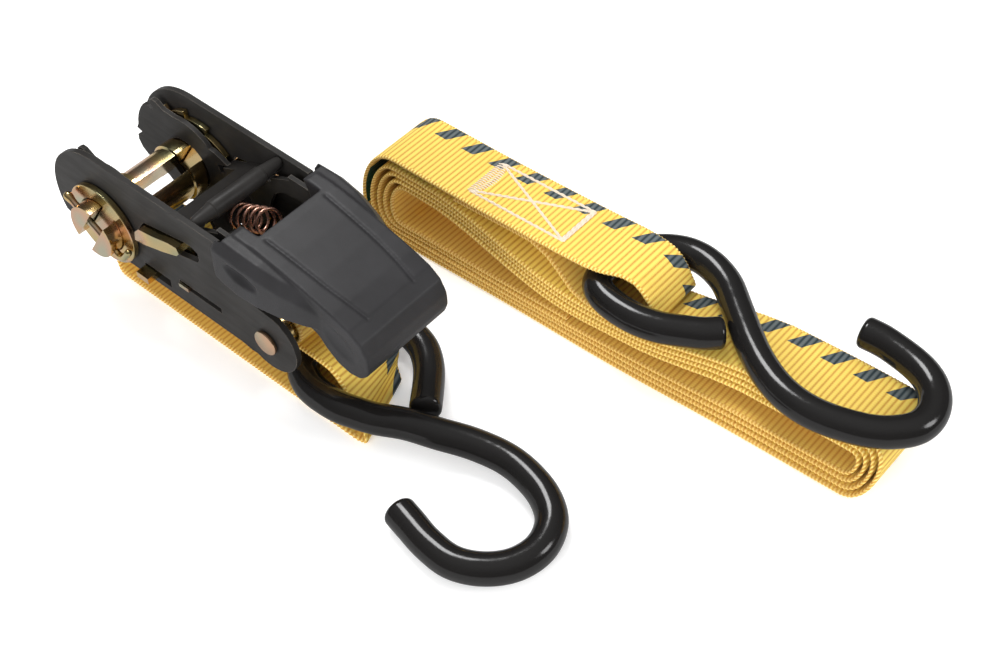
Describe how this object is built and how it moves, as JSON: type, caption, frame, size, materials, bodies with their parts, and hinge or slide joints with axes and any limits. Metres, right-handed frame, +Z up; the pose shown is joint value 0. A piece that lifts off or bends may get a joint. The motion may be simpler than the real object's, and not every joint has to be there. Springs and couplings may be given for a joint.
{
  "type": "ratchet strap",
  "caption": "Ratchet tie-down strap: closed ratchet buckle on a short hooked webbing strap, beside a long webbing strap folded in a flat coil with its own S-hook.",
  "frame": {"origin": "on the floor straight below the middle of the spindle, on the underside of the short strap's lowest layer", "axes": "+X from the spindle towards the buckle's tail, +Y across the buckle towards the coiled strap, +Z up"},
  "size_m": [0.261, 0.1439, 0.0627],
  "materials": {
    "black_steel": "satin dark paint",
    "zinc": "yellow zinc plate with a faint rainbow tint",
    "grip": "fine matt mould grain",
    "copper": "copper-washed spring wire",
    "webbing": "ribbed woven webbing",
    "thread": "cream polyester thread",
    "vinyl": "glossy dipped vinyl"
  },
  "bodies": {
    "base": {"base_frame": "black_steel", "tail_rivet": "zinc", "tail_roller": "zinc", "short_strap": "webbing", "short_strap_stitching": "thread"},
    "spindle": {"spindle_half_upper": "zinc", "spindle_half_lower": "zinc", "ratchet_wheel_near": "zinc", "ratchet_wheel_far": "zinc", "spindle_washer_near": "zinc", "spindle_washer_far": "zinc", "cotter_pin_near": "zinc", "cotter_pin_far": "zinc"},
    "handle": {"handle_plate_near": "black_steel", "handle_plate_far": "black_steel", "grip": "grip", "grip_pin": "black_steel"},
    "drive_pawl": {"drive_pawl": "black_steel", "drive_spring": "copper"},
    "lock_pawl": {"lock_pawl": "zinc", "lock_spring": "zinc"},
    "hook_short": {"hook_short": "vinyl"},
    "coil": {"long_strap": "webbing", "long_strap_stitching": "thread"},
    "hook_long": {"hook_long": "vinyl"}
  },
  "joints": [
    {"name": "spindle_turn", "type": "hinge", "parent": "base", "child": "spindle", "pos_m": [0, 0, 0.0335], "axis": [0, -1, 0], "continuous": true},
    {"name": "handle_swing", "type": "hinge", "parent": "base", "child": "handle", "pos_m": [0, 0, 0.0335], "axis": [0, -1, 0], "range_deg": [0, 165]},
    {"name": "drive_pawl_slide", "type": "slide", "parent": "handle", "child": "drive_pawl", "axis": [0.9063, 0, 0.4226], "range_m": [-0.002, 0.003], "deforming": ["drive_spring"]},
    {"name": "lock_pawl_slide", "type": "slide", "parent": "base", "child": "lock_pawl", "axis": [1, 0, 0], "range_m": [0, 0.003], "deforming": ["lock_spring"]},
    {"name": "hook_short_swing", "type": "hinge", "parent": "base", "child": "hook_short", "pos_m": [0.067, 0.003, 0.00645], "axis": [0, -1, 0], "range_deg": [0, 8]},
    {"name": "long_strap_lift", "type": "slide", "parent": "base", "child": "coil", "axis": [0, 0, 1], "range_m": [0, 0.15]},
    {"name": "hook_long_swing", "type": "hinge", "parent": "coil", "child": "hook_long", "pos_m": [0.125, 0.0757, 0.02315], "axis": [0, 1, 0], "range_deg": [-8, 0]}
  ]
}
